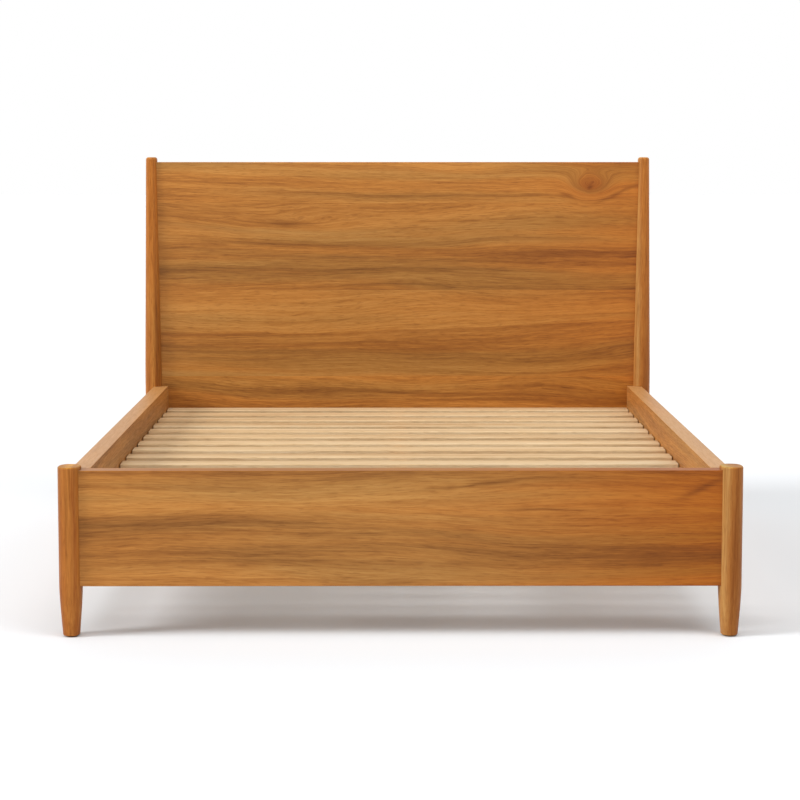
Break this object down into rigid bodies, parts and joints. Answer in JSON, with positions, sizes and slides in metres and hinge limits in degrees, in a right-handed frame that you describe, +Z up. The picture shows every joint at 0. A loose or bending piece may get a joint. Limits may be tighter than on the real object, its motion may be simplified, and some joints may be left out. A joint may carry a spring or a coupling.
{
  "type": "slatted platform bed frame",
  "caption": "Low wooden bed frame with a flat panel headboard, panel footboard and side rails between tapered oval posts, slats on ledgers and a centre beam on levelling legs.",
  "frame": {"origin": "on the floor, under the middle of the bed", "axes": "+X across the bed to the right seen from the foot, +Y from foot to head, +Z up"},
  "size_m": [1.695, 2.166, 1.181],
  "materials": {
    "panel_veneer": "warm honey-brown straight and gently figured veneer, satin lacquer",
    "post_wood": "solid wood in the same honey-brown stain, upright grain, satin lacquer",
    "slat_wood": "planed pale softwood, unfinished",
    "support_wood": "planed pale hardwood, clear sealer",
    "zinc_steel": "bright zinc plate",
    "black_steel": "black oxide",
    "glide_plastic": "matt moulded plastic",
    "strap_webbing": "flat woven webbing"
  },
  "bodies": {
    "bed_frame": {"headboard_panel": "panel_veneer", "footboard_panel": "panel_veneer", "foot_post_left": "post_wood", "foot_post_right": "post_wood", "head_post_left": "post_wood", "head_post_right": "post_wood", "side_rail_left": "panel_veneer", "side_rail_right": "panel_veneer", "post_glide_foot_left": "glide_plastic", "post_glide_foot_right": "glide_plastic", "post_glide_head_left": "glide_plastic", "post_glide_head_right": "glide_plastic", "corner_angle_foot_left": "zinc_steel", "rail_bolt_foot_left_lower": "black_steel", "rail_bolt_foot_left_upper": "black_steel", "corner_angle_foot_right": "zinc_steel", "rail_bolt_foot_right_lower": "black_steel", "rail_bolt_foot_right_upper": "black_steel", "corner_angle_head_left": "zinc_steel", "rail_bolt_head_left_lower": "black_steel", "rail_bolt_head_left_upper": "black_steel", "corner_angle_head_right": "zinc_steel", "rail_bolt_head_right_lower": "black_steel", "rail_bolt_head_right_upper": "black_steel", "slat_01": "slat_wood", "slat_02": "slat_wood", "slat_03": "slat_wood", "slat_04": "slat_wood", "slat_05": "slat_wood", "slat_06": "slat_wood", "slat_07": "slat_wood", "slat_08": "slat_wood", "slat_09": "slat_wood", "slat_10": "slat_wood", "slat_11": "slat_wood", "slat_12": "slat_wood", "slat_13": "slat_wood", "slat_14": "slat_wood", "slat_strap_left": "strap_webbing", "slat_strap_right": "strap_webbing", "slat_ledger_left": "support_wood", "slat_ledger_right": "support_wood", "centre_beam": "support_wood", "beam_stirrup_foot": "zinc_steel", "leg_plate_foot": "zinc_steel", "centre_leg_foot": "support_wood", "leg_insert_foot": "zinc_steel", "beam_stirrup_head": "zinc_steel", "leg_plate_head": "zinc_steel", "centre_leg_head": "support_wood", "leg_insert_head": "zinc_steel"},
    "leveller_pad_foot": {"leveller_pad_foot": "glide_plastic"},
    "leveller_stem_foot": {"leveller_stem_foot": "zinc_steel"},
    "leveller_pad_head": {"leveller_pad_head": "glide_plastic"},
    "leveller_stem_head": {"leveller_stem_head": "zinc_steel"}
  },
  "joints": [
    {"name": "leveller_foot_height", "type": "slide", "parent": "bed_frame", "child": "leveller_pad_foot", "axis": [0, 0, 1], "range_m": [0, 0.015]},
    {"name": "leveller_foot_turn", "type": "hinge", "parent": "leveller_pad_foot", "child": "leveller_stem_foot", "pos_m": [0, -0.34, 0.02], "axis": [0, 0, 1], "range_deg": [0, 4320]},
    {"name": "leveller_head_height", "type": "slide", "parent": "bed_frame", "child": "leveller_pad_head", "axis": [0, 0, 1], "range_m": [0, 0.015]},
    {"name": "leveller_head_turn", "type": "hinge", "parent": "leveller_pad_head", "child": "leveller_stem_head", "pos_m": [0, 0.34, 0.02], "axis": [0, 0, 1], "range_deg": [0, 4320]}
  ],
  "couplings": [
    {"joint": "leveller_foot_turn", "follows": "leveller_foot_height", "rad_per_m": 5026.5},
    {"joint": "leveller_head_turn", "follows": "leveller_head_height", "rad_per_m": 5026.5}
  ]
}
